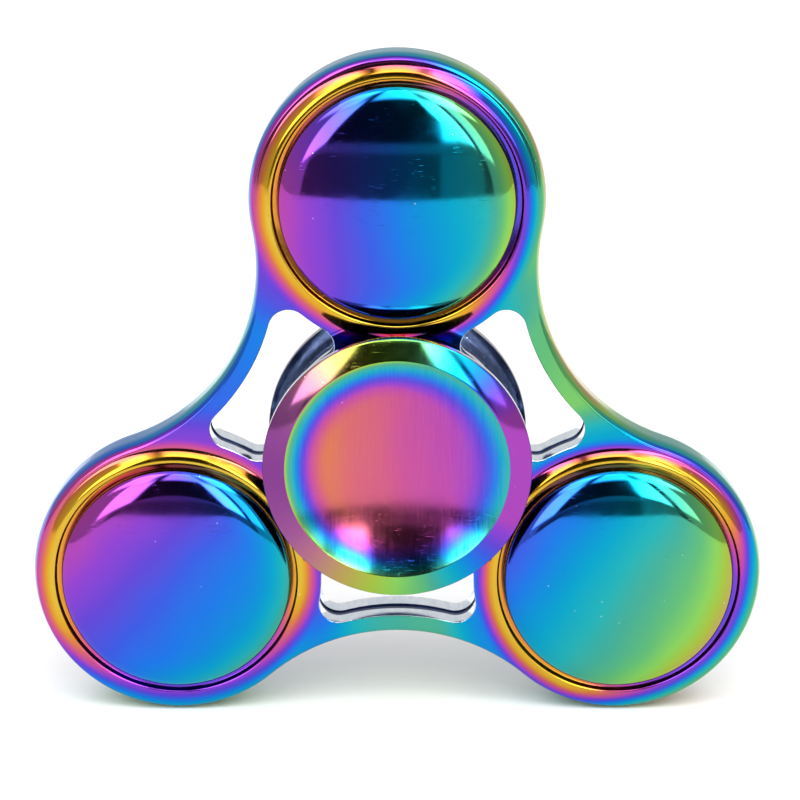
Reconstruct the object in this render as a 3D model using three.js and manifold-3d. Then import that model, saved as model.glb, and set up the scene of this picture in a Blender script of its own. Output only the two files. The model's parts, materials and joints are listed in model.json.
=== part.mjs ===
// Tri-lobe fidget spinner, modelled standing upright on its two lower lobes.
// Millimetres, +Z up, +X to the right. The spin axis is Y and the front faces -Y.
// The origin is the centre of the hub bearing.
import * as THREE from 'three';
import { mergeVertices } from 'three/addons/utils/BufferGeometryUtils.js';
import Module from 'manifold-3d';

const wasm = await Module();
wasm.setup();

// ---------------------------------------------------------------- driving dimensions

const LOBES = 3;
const LOBE_NAMES = ['top', 'left', 'right'];
const LOBE_ANGLES = [90, 210, 330]; // seen from the front, anticlockwise from +X

// Cast body
const lobeDistance = 26.2; // bearing centre to lobe centre
const lobeRadius = 14.8; // outer edge of a lobe at mid thickness
const waistDistance = 19.4; // bearing centre to the outer edge half way between lobes
const creaseHalfThickness = 2.8; // where the bowed side wall meets the face
const landHalfThickness = 1.4; // flat band round the side wall that the part stands on
const sideBow = 0.5; // how far the side wall bows out past the crease
const lobeFaceHalfThickness = 3.3; // raised rim round each cap
const lobeFaceRadius = 13.0;
const lobeFaceFoot = 14.0; // where the raised rim meets the flat face
const lobeFacetAngle = 6; // degrees; one facet of each lower lobe lies flat on the table
const housingRadius = 12.2;
const housingCollarRadius = 12.05; // the part of the housing that stands proud of the face
const housingHalfThickness = 3.5;
const housingBoreRadius = 11.05;

// Windows between hub, lobes and outer wall
const windowLobeRadius = 14.9; // the window's ends run concentric with the lobes
const windowWallDistance = 17.3; // bearing centre to the window's outer wall
const windowCornerRadius = 2.0;

// Lobe pockets, caps and counterweights
const recessRadius = 12.6;
const recessFloor = 2.55; // half thickness of the web at the bottom of the recess
const lobeBoreRadius = 9.05;
const capRadius = 11.75;
const capWallTop = 3.45;
const capShoulder = 0.95; // radial width of the rounded shoulder
const capCrownEdge = 4.3; // height at which shoulder meets crown
const capCrownRadius = 56; // spherical crown
const capSpigotRadius = 9.0;
const capSpigotEnd = 1.7;
const weightRadius = 8.9;
const weightHalfThickness = 1.6;

// 608 ball bearing: 22 mm outside, 8 mm bore, 7 mm wide, seven balls
const bearingOuterRadius = 11;
const bearingBoreRadius = 4;
const bearingHalfWidth = 3.5;
const ballCount = 7;
const ballRadius = 3.969 / 2;
const pitchRadius = 7.5;
const grooveRadius = 2.06;
const raceClearance = 0.06;
const outerLandRadius = 9.0;
const innerLandRadius = 6.0;
const shieldSeatRadius = 9.9;
const shieldSeatStart = 2.75;
const shieldInner = 6.3;
const shieldFaces = [2.85, 3.15];
const cageInner = 6.4;
const cageOuter = 8.6;
const cageHalfHeight = 2.4;
const cagePocketRadius = 2.15;

// Finger pads: dished buttons on short stems in the bearing's bore
const padRadius = 13.5;
const padRimFaces = [5.9, 7.0]; // back and front edge of the outer rim
const padRidgeRadius = 11.34;
const padRidgeHeight = 7.65;
const padDishRadius = 42; // spherical dish
const padUndersideRadius = 12.4;
const padUndersideHeight = 5.5;
const padBossRadius = 5.6;
const padBossTop = 4.4;
const padStemRadius = 3.95;
const padStemEnd = 0.15; // each stem stops this far from mid thickness
const studHoleRadius = 2.1;
const studHoleEnd = 4.0;
const studRadius = 2.0;
const studHalfLength = 3.8;

const turnedSegments = 42;
const lobeSegments = 36;
const cageSegments = 28;

// ---------------------------------------------------------------- finishes

/** A metal finish; the rainbow film itself is a matter of looks, so each group has its mean colour. */
function finish(color, roughness) {
  return new THREE.MeshStandardMaterial({ color, roughness, metalness: 1 });
}

const finishes = {
  body: finish(0x8a4fae, 0.12),
  cap: finish(0x2f86c9, 0.08),
  pad: finish(0xb04fa8, 0.14),
  steel: finish(0xc9ccd0, 0.22),
  cage: finish(0xb5a781, 0.35),
  weight: finish(0x8f9296, 0.4),
};

// ---------------------------------------------------------------- geometry helpers

const degrees = THREE.MathUtils.degToRad;

/** Point at a distance and an angle in degrees, in a plane. */
function polar(radius, angle, center = new THREE.Vector2()) {
  const offset = new THREE.Vector2(Math.cos(degrees(angle)), Math.sin(degrees(angle)));
  return offset.multiplyScalar(radius).add(center);
}

/** Points on an arc from one angle to another, both ends included. */
function arcPoints(center, radius, from, to, steps) {
  const points = [];
  for (let i = 0; i <= steps; i++) {
    points.push(polar(radius, from + ((to - from) * i) / steps, center));
  }
  return points;
}

/** Angle in degrees of the direction from one point to another. */
function bearingTo(from, to) {
  return THREE.MathUtils.radToDeg(Math.atan2(to.y - from.y, to.x - from.x));
}

/** Brings an angle to within half a turn of another. */
function near(angle, reference) {
  return angle - 360 * Math.round((angle - reference) / 360);
}

function dropShading(geometry) {
  geometry.deleteAttribute('normal');
  geometry.deleteAttribute('uv');
  return mergeVertices(geometry, 1e-4);
}

/** Closed three.js geometry to a manifold solid. */
function toSolid(geometry) {
  const merged = dropShading(geometry);
  const vertProperties = new Float32Array(merged.attributes.position.array);
  const triVerts = new Uint32Array(merged.index.array);
  return new wasm.Manifold(new wasm.Mesh({ numProp: 3, vertProperties, triVerts }));
}

/** Manifold solid back to a three.js geometry. */
function toGeometry(solid) {
  const mesh = solid.getMesh();
  const geometry = new THREE.BufferGeometry();
  geometry.setAttribute('position', new THREE.BufferAttribute(new Float32Array(mesh.vertProperties), 3));
  geometry.setIndex(new THREE.BufferAttribute(new Uint32Array(mesh.triVerts), 1));
  return geometry;
}

/** Turns a closed profile of [radius, height] pairs about the Y axis, facing outwards. */
function turned(profile, segments = turnedSegments) {
  const points = profile.map(([radius, height]) => new THREE.Vector2(radius, height));
  if (THREE.ShapeUtils.area(points) < 0) points.reverse();
  const onAxis = points.findIndex((p, i) => p.x === 0 && points.at(i - 1).x === 0);
  if (onAxis >= 0) {
    // Start and end on the axis, so that no wall runs along it.
    points.push(...points.splice(0, onAxis));
  } else {
    points.push(points[0].clone());
  }
  return new THREE.LatheGeometry(points, segments);
}

/** Mirrors a half profile, given for heights above mid thickness, to both sides. */
function symmetric(upperHalf) {
  const lowerHalf = upperHalf.map(([radius, height]) => [radius, -height]).reverse();
  return [...upperHalf, ...lowerHalf];
}

/** Closed prism from a plane outline, centred on mid thickness, its plane turned into X-Z. */
function prism(outline, halfThickness, chamfer = null) {
  const flat = chamfer ? chamfer.land : halfThickness;
  const geometry = new THREE.ExtrudeGeometry(new THREE.Shape(outline), {
    depth: 2 * flat,
    bevelEnabled: Boolean(chamfer),
    bevelThickness: halfThickness - flat,
    bevelSize: chamfer ? chamfer.size : 0,
    bevelOffset: chamfer ? -chamfer.size : 0,
    bevelSegments: 1,
    curveSegments: 1,
  });
  geometry.translate(0, 0, -flat);
  geometry.rotateX(Math.PI / 2);
  return geometry;
}

/** Centre of lobe number i, as a point in the X-Z plane. */
function lobeCenter(i) {
  return polar(lobeDistance, LOBE_ANGLES[i]);
}

/** Moves a geometry from the spin axis to the centre of lobe number i. */
function atLobe(geometry, i) {
  const center = lobeCenter(i);
  return geometry.translate(center.x, 0, center.y);
}

// ---------------------------------------------------------------- cast body

/** Distance from the bearing to the centre of the hollow arc that joins two lobes. */
function waistArcDistance() {
  // The arc touches both lobes: L^2 + d^2 - L d = (R + L - w)^2, with 60 degrees between them.
  const reach = lobeRadius - waistDistance;
  return (lobeDistance ** 2 - reach ** 2) / (lobeDistance + 2 * reach);
}

/** Outer outline: three round lobes joined by three hollow arcs, all tangent. */
function bodyOutline() {
  const arcDistance = waistArcDistance();
  const arcRadius = arcDistance - waistDistance;
  const points = [];
  for (let i = 0; i < LOBES; i++) {
    const direction = LOBE_ANGLES[i];
    const center = lobeCenter(i);
    const arcCenter = polar(arcDistance, direction + 60);
    const nextCenter = polar(lobeDistance, direction + 120);
    const touch = near(bearingTo(center, arcCenter), direction) - direction;
    const facets = Math.floor((touch - lobeFacetAngle / 2) / lobeFacetAngle);
    const sweep = (facets + 0.5) * lobeFacetAngle;
    points.push(...arcPoints(center, lobeRadius, direction - sweep, direction + sweep, 2 * facets + 1));
    const enter = bearingTo(arcCenter, center);
    const leave = near(bearingTo(arcCenter, nextCenter), enter);
    points.push(...arcPoints(arcCenter, arcRadius, enter, leave, 12));
  }
  return points;
}

/** Centre of the circle of the given radius that touches two circles from outside. */
function filletCenter(a, b, radius, side) {
  const toB = b.center.clone().sub(a.center);
  const distance = toB.length();
  const fromA = a.radius + radius;
  const fromB = b.radius + radius;
  const along = (distance ** 2 + fromA ** 2 - fromB ** 2) / (2 * distance);
  const across = Math.sqrt(fromA ** 2 - along ** 2) * side;
  const unit = toB.divideScalar(distance);
  return new THREE.Vector2(
    a.center.x + unit.x * along - unit.y * across,
    a.center.y + unit.y * along + unit.x * across,
  );
}

/** Window outline between lobes: four circles that bulge into it, joined by round corners. */
function windowOutline(direction) {
  const arcDistance = waistArcDistance();
  const walls = [
    { center: new THREE.Vector2(), radius: housingRadius, steps: 8 },
    { center: polar(lobeDistance, direction - 60), radius: windowLobeRadius, steps: 4 },
    { center: polar(arcDistance, direction), radius: arcDistance - windowWallDistance, steps: 8 },
    { center: polar(lobeDistance, direction + 60), radius: windowLobeRadius, steps: 4 },
  ];
  const corners = walls.map((wall, i) => {
    return filletCenter(wall, walls[(i + 1) % walls.length], windowCornerRadius, 1);
  });
  const points = [];
  walls.forEach((wall, i) => {
    const before = corners.at(i - 1);
    const after = corners[i];
    const next = walls[(i + 1) % walls.length];
    const wallStart = bearingTo(wall.center, before);
    const wallEnd = near(bearingTo(wall.center, after), wallStart);
    points.push(...arcPoints(wall.center, wall.radius, wallStart, wallEnd, wall.steps).slice(0, -1));
    const cornerStart = bearingTo(after, wall.center);
    const cornerEnd = near(bearingTo(after, next.center), cornerStart);
    points.push(...arcPoints(after, windowCornerRadius, cornerStart, cornerEnd, 5).slice(0, -1));
  });
  return points;
}

function spinnerBody() {
  const chamfer = { land: landHalfThickness, size: sideBow };
  let solid = toSolid(prism(bodyOutline(), creaseHalfThickness, chamfer));
  const lobeFace = symmetric([
    [0, lobeFaceHalfThickness],
    [lobeFaceRadius, lobeFaceHalfThickness],
    [lobeFaceFoot, creaseHalfThickness],
  ]);
  for (let i = 0; i < LOBES; i++) {
    solid = solid.add(toSolid(atLobe(turned(lobeFace, lobeSegments), i)));
  }
  const collar = symmetric([[0, housingHalfThickness], [housingCollarRadius, housingHalfThickness]]);
  solid = solid.add(toSolid(turned(collar)));

  const through = lobeFaceHalfThickness + 1;
  const pocket = symmetric([
    [0, through],
    [recessRadius, through],
    [recessRadius, recessFloor],
    [lobeBoreRadius, recessFloor],
  ]);
  for (let i = 0; i < LOBES; i++) {
    solid = solid.subtract(toSolid(prism(windowOutline(LOBE_ANGLES[i] + 60), through)));
    solid = solid.subtract(toSolid(atLobe(turned(pocket, lobeSegments), i)));
  }
  const bore = symmetric([[0, through], [housingBoreRadius, through]]);
  return toGeometry(solid.subtract(toSolid(turned(bore))));
}

// ---------------------------------------------------------------- lobe pieces

/** Height of a spherical crown or dish above its own edge, at a radius from its middle. */
function sphereRise(sphereRadius, edgeRadius, radius) {
  const toCenter = Math.sqrt(sphereRadius ** 2 - edgeRadius ** 2);
  return Math.sqrt(sphereRadius ** 2 - radius ** 2) - toCenter;
}

/** Domed cap of a lobe; side is -1 for the front and 1 for the back. */
function lobeCap(side) {
  const crownEdge = capRadius - capShoulder;
  const profile = [
    [0, capSpigotEnd],
    [capSpigotRadius, capSpigotEnd],
    [capSpigotRadius, recessFloor + 0.02],
    [capRadius, recessFloor + 0.02],
    [capRadius, capWallTop],
    [capRadius - capShoulder * 0.3, (capWallTop + 2 * capCrownEdge) / 3],
    [crownEdge, capCrownEdge],
  ];
  for (const share of [0.66, 0.33, 0]) {
    const radius = crownEdge * share;
    profile.push([radius, capCrownEdge + sphereRise(capCrownRadius, crownEdge, radius)]);
  }
  return turned(profile.map(([radius, height]) => [radius, side * height]), lobeSegments);
}

function counterweight() {
  return turned(symmetric([[0, weightHalfThickness], [weightRadius, weightHalfThickness]]), lobeSegments);
}

// ---------------------------------------------------------------- hub bearing

/** Raceway groove cut into a land: profile points from one edge to the other. */
function groove(bottomRadius, landRadius, outward) {
  const center = bottomRadius - outward * grooveRadius;
  const halfAngle = Math.acos(Math.abs(landRadius - center) / grooveRadius);
  const steps = 6;
  const points = [];
  for (let i = 0; i <= steps; i++) {
    const angle = halfAngle - (2 * halfAngle * i) / steps;
    points.push([center + outward * grooveRadius * Math.cos(angle), grooveRadius * Math.sin(angle)]);
  }
  return points;
}

function bearingOuterRing() {
  const bottom = pitchRadius + ballRadius + raceClearance;
  return turned([
    [bearingOuterRadius, bearingHalfWidth],
    [shieldSeatRadius, bearingHalfWidth],
    [shieldSeatRadius, shieldSeatStart],
    [outerLandRadius, shieldSeatStart],
    ...groove(bottom, outerLandRadius, 1),
    [outerLandRadius, -shieldSeatStart],
    [shieldSeatRadius, -shieldSeatStart],
    [shieldSeatRadius, -bearingHalfWidth],
    [bearingOuterRadius, -bearingHalfWidth],
  ]);
}

function bearingInnerRing() {
  const bottom = pitchRadius - ballRadius - raceClearance;
  return turned([
    [bearingBoreRadius, bearingHalfWidth],
    [innerLandRadius, bearingHalfWidth],
    ...groove(bottom, innerLandRadius, -1),
    [innerLandRadius, -bearingHalfWidth],
    [bearingBoreRadius, -bearingHalfWidth],
  ]);
}

function bearingShield(side) {
  const [inside, outside] = shieldFaces;
  return turned([
    [shieldInner, side * inside],
    [shieldSeatRadius - 0.05, side * inside],
    [shieldSeatRadius - 0.05, side * outside],
    [shieldInner, side * outside],
  ]);
}

/** Centre of ball number i. */
function ballCenter(i) {
  const place = polar(pitchRadius, 90 + (360 * i) / ballCount);
  return new THREE.Vector3(place.x, 0, place.y);
}

function ballGeometry(radius) {
  return new THREE.SphereGeometry(radius, 12, 8);
}

/** Cage: a ring with a round pocket for each ball, open towards both races. */
function ballCage() {
  const ring = symmetric([[cageInner, cageHalfHeight], [cageOuter, cageHalfHeight]]);
  let solid = toSolid(turned(ring, cageSegments));
  for (let i = 0; i < ballCount; i++) {
    const { x, y, z } = ballCenter(i);
    solid = solid.subtract(toSolid(ballGeometry(cagePocketRadius).translate(x, y, z)));
  }
  return toGeometry(solid);
}

// ---------------------------------------------------------------- finger pads

/** Dished finger pad with its stem and a blind hole for the stud; side is -1 for the front. */
function fingerPad(side) {
  const edge = padRidgeRadius - 0.15;
  const dishEdge = padRidgeHeight - 0.06;
  const profile = [
    [studHoleRadius, padStemEnd],
    [padStemRadius, padStemEnd],
    [padStemRadius, bearingHalfWidth + 0.02],
    [padBossRadius, bearingHalfWidth + 0.02],
    [padBossRadius, padBossTop],
    [padUndersideRadius, padUndersideHeight],
    [padRadius, padRimFaces[0]],
    [padRadius, padRimFaces[1]],
    [padRidgeRadius, padRidgeHeight],
    [edge, dishEdge],
  ];
  for (const share of [0.75, 0.5, 0.25, 0]) {
    const radius = edge * share;
    profile.push([radius, dishEdge - sphereRise(padDishRadius, edge, radius)]);
  }
  profile.push([0, studHoleEnd], [studHoleRadius, studHoleEnd]);
  return turned(profile.map(([radius, height]) => [radius, side * height]));
}

/** Stud that draws the two pads together through the bearing's bore. */
function padStud() {
  const tip = 0.4;
  return turned(symmetric([
    [0, studHalfLength],
    [studRadius - tip, studHalfLength],
    [studRadius, studHalfLength - tip],
  ]), 24);
}

// ---------------------------------------------------------------- assembly

const group = new THREE.Group();

function place(name, geometry, material, parent = group) {
  const mesh = new THREE.Mesh(geometry, material.clone());
  mesh.name = name;
  parent.add(mesh);
  return mesh;
}

place('spinner_body', spinnerBody(), finishes.body);

for (let i = 0; i < LOBES; i++) {
  const center = lobeCenter(i);
  const lobe = new THREE.Group();
  lobe.position.set(center.x, 0, center.y);
  group.add(lobe);
  place(`${LOBE_NAMES[i]}_counterweight`, counterweight(), finishes.weight, lobe);
  place(`${LOBE_NAMES[i]}_front_cap`, lobeCap(-1), finishes.cap, lobe);
  place(`${LOBE_NAMES[i]}_rear_cap`, lobeCap(1), finishes.cap, lobe);
}

place('bearing_outer_ring', bearingOuterRing(), finishes.steel);
place('bearing_inner_ring', bearingInnerRing(), finishes.steel);
place('bearing_front_shield', bearingShield(-1), finishes.steel);
place('bearing_rear_shield', bearingShield(1), finishes.steel);
place('ball_cage', ballCage(), finishes.cage);
for (let i = 0; i < ballCount; i++) {
  const ball = place(`ball_${i + 1}`, ballGeometry(ballRadius), finishes.steel);
  ball.position.copy(ballCenter(i));
}

place('front_finger_pad', fingerPad(-1), finishes.pad);
place('rear_finger_pad', fingerPad(1), finishes.pad);
place('pad_stud', padStud(), finishes.steel);

export default group;
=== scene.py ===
"""Looks of a three-lobed metal fidget spinner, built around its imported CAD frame.

The body, the lobe caps, the finger pads and the visible bearing rings are turned and swept afresh
with finer curves than the CAD solids. Balls, cage, weights and stud keep their CAD meshes and get
procedural steels. Shapes are drawn in millimetres and brought to metres when a piece is finished.
The front of the spinner looks along -Y and +Z is up.
"""

import json
import logging
import math
from collections.abc import Callable, Sequence
from dataclasses import dataclass, field
from enum import Enum

import bmesh
import bpy
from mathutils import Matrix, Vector

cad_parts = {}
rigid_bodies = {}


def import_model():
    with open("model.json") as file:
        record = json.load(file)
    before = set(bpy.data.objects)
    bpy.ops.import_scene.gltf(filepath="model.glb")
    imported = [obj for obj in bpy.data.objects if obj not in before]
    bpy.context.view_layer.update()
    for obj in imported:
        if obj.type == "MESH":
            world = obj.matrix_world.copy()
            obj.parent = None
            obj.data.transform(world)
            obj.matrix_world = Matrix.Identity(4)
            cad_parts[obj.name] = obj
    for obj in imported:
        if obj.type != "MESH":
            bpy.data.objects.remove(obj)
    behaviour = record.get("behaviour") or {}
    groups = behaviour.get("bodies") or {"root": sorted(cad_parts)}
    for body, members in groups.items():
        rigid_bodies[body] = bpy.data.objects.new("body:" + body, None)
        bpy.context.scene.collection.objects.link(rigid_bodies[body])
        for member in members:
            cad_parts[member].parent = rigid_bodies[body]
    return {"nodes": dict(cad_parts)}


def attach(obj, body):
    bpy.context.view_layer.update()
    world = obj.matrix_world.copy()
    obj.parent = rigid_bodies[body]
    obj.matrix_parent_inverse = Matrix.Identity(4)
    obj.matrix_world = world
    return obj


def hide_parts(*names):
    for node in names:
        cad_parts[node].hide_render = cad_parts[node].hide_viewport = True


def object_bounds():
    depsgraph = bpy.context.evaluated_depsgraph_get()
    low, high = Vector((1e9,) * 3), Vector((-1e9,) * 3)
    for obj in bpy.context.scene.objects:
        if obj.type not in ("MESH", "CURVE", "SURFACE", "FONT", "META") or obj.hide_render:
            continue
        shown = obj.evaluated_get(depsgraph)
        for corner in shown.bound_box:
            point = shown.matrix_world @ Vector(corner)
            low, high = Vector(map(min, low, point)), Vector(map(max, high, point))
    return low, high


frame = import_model()
CAD_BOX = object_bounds()

LOG = logging.getLogger("spinner")
MM = 0.001
FULL_TURN = 360.0
LOBE_STEP = 120.0
LOBE_DISTANCE = 26.2
SAME_SPOT = 1e-4
SAME_LEVEL = 1e-3
WELD_GAP = 4e-4
ROUNDING_FACETS = (3, 12)
FACETS_PER_MM = 14

# A place (x, z) seen from the front, a section point (across, along, rounding), and a range with
# the values at its two ends (low, high, at low, at high).
Spot = tuple[float, float]
Corner = tuple[float, float, float]
Span = tuple[float, float, float, float]
Socket = bpy.types.NodeSocket
Link = Socket | float | tuple[float, ...] | None


class Lobe(Enum):
    """The three lobes, each with its direction from the hub in degrees."""

    TOP = 90.0
    LEFT = 210.0
    RIGHT = 330.0

    @property
    def key(self) -> str:
        """Name of the lobe as the CAD nodes use it."""
        return self.name.lower()


class Side(Enum):
    """Front or rear of the spinner, as the sign of Y."""

    FRONT = -1.0
    REAR = 1.0

    @property
    def key(self) -> str:
        """Name of the side as the CAD nodes use it."""
        return self.name.lower()


class Slot(Enum):
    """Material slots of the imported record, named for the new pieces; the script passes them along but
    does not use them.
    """

    BODY = "rainbow_body"
    CAPS = "rainbow_caps"
    PADS = "rainbow_pads"
    BEARING = "bearing_steel"
    SHIELD = "shield_steel"


# ---------------------------------------------------------------- drawing in millimetres


def polar(radius: float, degrees: float) -> Spot:
    """Point (x, z) at a radius and a direction seen from the front.

    Args:
        radius: Distance from the hub.
        degrees: Direction, anticlockwise from +X.

    Returns:
        The two coordinates.
    """
    turn = math.radians(degrees)
    return radius * math.cos(turn), radius * math.sin(turn)


def heading(start: Sequence[float], end: Sequence[float]) -> float:
    """Direction in degrees from one (x, z) point to another."""
    return math.degrees(math.atan2(end[1] - start[1], end[0] - start[0]))


def ring_of_three(distance: float, first: float) -> list[Spot]:
    """Three (x, z) points at one distance from the hub, a third of a turn apart."""
    return [polar(distance, first + LOBE_STEP * i) for i in range(3)]


def wrapped(degrees: float) -> float:
    """The same angle brought to between -180 and 180."""
    return (degrees + 180.0) % 360.0 - 180.0


@dataclass
class Bench:
    """One mesh being drawn in edit mode, in millimetres.

    Args:
        name: Name of the piece that it becomes.
    """

    name: str
    obj: bpy.types.Object = field(init=False)

    def __post_init__(self) -> None:
        """Starts an empty mesh in edit mode."""
        bpy.ops.object.select_all(action="DESELECT")
        bpy.ops.mesh.primitive_plane_add(size=1.0, enter_editmode=True, location=(0, 0, 0))
        self.obj = bpy.context.object
        self.obj.name = self.name
        self.obj.data.name = self.name
        bpy.ops.mesh.select_all(action="SELECT")
        bpy.ops.mesh.delete(type="VERT")

    def select(self, wanted: Callable[[Vector], bool]) -> None:
        """Selects only the vertices whose place passes a test, and what lies between them.

        Args:
            wanted: Test on a vertex's place.
        """
        bpy.ops.mesh.select_all(action="DESELECT")
        drawn = bmesh.from_edit_mesh(self.obj.data)
        for vert in drawn.verts:
            vert.select = wanted(vert.co)
        drawn.select_flush_mode()
        bmesh.update_edit_mesh(self.obj.data)

    def start(self, place: Vector) -> None:
        """Puts down the first vertex of a wire and leaves only it selected.

        Args:
            place: Where the wire starts.
        """
        bpy.ops.mesh.select_all(action="DESELECT")
        bpy.ops.mesh.primitive_plane_add(size=1.0, location=(0, 0, 0))
        bpy.ops.mesh.merge(type="CENTER")
        bpy.ops.transform.translate(value=place)

    def run(self, step: Vector) -> None:
        """Extrudes the wire's end by a step."""
        bpy.ops.mesh.extrude_region_move(TRANSFORM_OT_translate={"value": step})

    def wire(self, corners: Sequence[Corner], place: Callable[[float, float], Vector]) -> None:
        """Draws a section as a wire with rounded corners and leaves the whole wire selected.

        Args:
            corners: Section points as (across, along, rounding); rounding is the distance from
                the corner at which its arc starts.
            place: Turns (across, along) into a place.
        """
        spots = [place(across, along) for across, along, _ in corners]
        self.start(spots[0])
        for here, there in zip(spots, spots[1:]):
            self.run(there - here)
        for spot, (_, _, rounding) in zip(spots, corners):
            if rounding > 0:
                self.round_corner(spot, rounding)
        self.select_wire(spots[0])

    def round_corner(self, spot: Vector, rounding: float) -> None:
        """Replaces one corner of the wire by an arc.

        Args:
            spot: Where the corner is.
            rounding: Distance from the corner at which the arc starts.
        """
        self.select(lambda co: (co - spot).length < SAME_SPOT)
        fewest, most = ROUNDING_FACETS
        steps = max(fewest, min(most, round(rounding * FACETS_PER_MM)))
        bpy.ops.mesh.bevel(offset=rounding, segments=steps, affect="VERTICES", profile=0.5)

    def select_wire(self, spot: Vector) -> None:
        """Selects the wire that starts at a spot."""
        self.select(lambda co: (co - spot).length < SAME_SPOT)
        bpy.ops.mesh.select_linked()

    def sweep(self, center: Spot, degrees: float, steps: int) -> None:
        """Spins the selected wire about an axis along Y and leaves its far end selected.

        Args:
            center: The axis, as (x, z).
            degrees: Turn, anticlockwise seen from the front.
            steps: Number of facets along the turn.
        """
        bpy.ops.mesh.spin(
            steps=steps,
            angle=math.radians(degrees),
            center=(center[0], 0.0, center[1]),
            axis=(0.0, 1.0, 0.0),
        )

    def merge(self) -> None:
        """Welds what coincides over the whole mesh."""
        bpy.ops.mesh.select_all(action="SELECT")
        bpy.ops.mesh.remove_doubles(threshold=WELD_GAP)
        bpy.ops.mesh.delete_loose(use_verts=True, use_edges=True, use_faces=False)

    def fill_level(self, level: float) -> None:
        """Fills the flat face between all the open loops at one height.

        Args:
            level: Height of the face along Y.
        """
        bpy.ops.mesh.select_all(action="DESELECT")
        bpy.ops.mesh.select_mode(type="EDGE")
        drawn = bmesh.from_edit_mesh(self.obj.data)
        for edge in drawn.edges:
            flat = all(abs(vert.co.y - level) < SAME_LEVEL for vert in edge.verts)
            edge.select = edge.is_boundary and flat
        bmesh.update_edit_mesh(self.obj.data)
        bpy.ops.mesh.fill(use_beauty=True)
        bpy.ops.mesh.select_mode(type="VERT")

    def finish(self, smooth_degrees: float = 34.0) -> bpy.types.Object:
        """Turns the faces outwards, brings the mesh to metres and smooths it.

        Args:
            smooth_degrees: Edges that bend less than this are shaded smooth.

        Returns:
            The finished object, unturned and unscaled at the origin.
        """
        self.merge()
        bpy.ops.mesh.select_all(action="SELECT")
        bpy.ops.mesh.normals_make_consistent(inside=False)
        bpy.ops.mesh.select_all(action="DESELECT")
        bpy.ops.object.mode_set(mode="OBJECT")
        self.obj.scale = (MM, MM, MM)
        bpy.ops.object.transform_apply(location=False, rotation=False, scale=True)
        bpy.ops.object.shade_smooth_by_angle(angle=math.radians(smooth_degrees))
        return self.obj


@dataclass
class Turned:
    """A piece turned on a lathe about an axis along Y.

    Args:
        name: Name of the piece.
        section: Closed or axis-to-axis section as (radius, height, rounding).
        center: Axis of the piece, as (x, z).
        side: Which way heights count.
        steps: Facets round the turn.
    """

    name: str
    section: Sequence[Corner]
    center: Spot = (0.0, 0.0)
    side: Side = Side.REAR
    steps: int = 128

    def build(self) -> bpy.types.Object:
        """Draws the section, spins it all the way round and finishes the piece.

        Returns:
            The finished piece.
        """
        bench = Bench(self.name)
        bench.wire(self.section, self.place)
        bench.sweep(self.center, FULL_TURN, self.steps)
        return bench.finish()

    def place(self, radius: float, height: float) -> Vector:
        """Where a section point lies before the spin."""
        return Vector((self.center[0] + radius, self.side.value * height, self.center[1]))


def sphere_arc(sphere: float, edge: tuple[float, float], rings: int, hollow: bool) -> list[Corner]:
    """Section points of a spherical crown or dish, from near its edge to the axis.

    Args:
        sphere: Radius of the sphere.
        edge: Radius and height of the edge.
        rings: Number of rings between the edge and the axis.
        hollow: True for a dish, False for a crown.

    Returns:
        Points without rounding.
    """
    depth = math.sqrt(sphere**2 - edge[0] ** 2)
    sign = -1.0 if hollow else 1.0
    points = []
    for ring in range(1, rings + 1):
        radius = edge[0] * (1.0 - ring / rings)
        points.append((radius, edge[1] + sign * (math.sqrt(sphere**2 - radius**2) - depth), 0.0))
    return points


def turned_copy(piece: bpy.types.Object, name: str, about_y: float, about_z: float) -> bpy.types.Object:
    """Copies a finished piece with its own mesh and turns the copy about the hub.

    Args:
        piece: What to copy.
        name: Name of the copy.
        about_y: Turn about the spin axis in degrees, clockwise seen from the front.
        about_z: Turn about the upright axis in degrees, done after the first.

    Returns:
        The copy, with the turn in its mesh.
    """
    bpy.ops.object.select_all(action="DESELECT")
    piece.select_set(True)
    bpy.context.view_layer.objects.active = piece
    bpy.ops.object.duplicate(linked=False)
    copy = bpy.context.object
    copy.name = name
    copy.data.name = name
    copy.rotation_euler = (0.0, math.radians(about_y), math.radians(about_z))
    bpy.ops.object.transform_apply(location=False, rotation=True, scale=False)
    return copy


# ---------------------------------------------------------------- shader graphs


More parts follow.
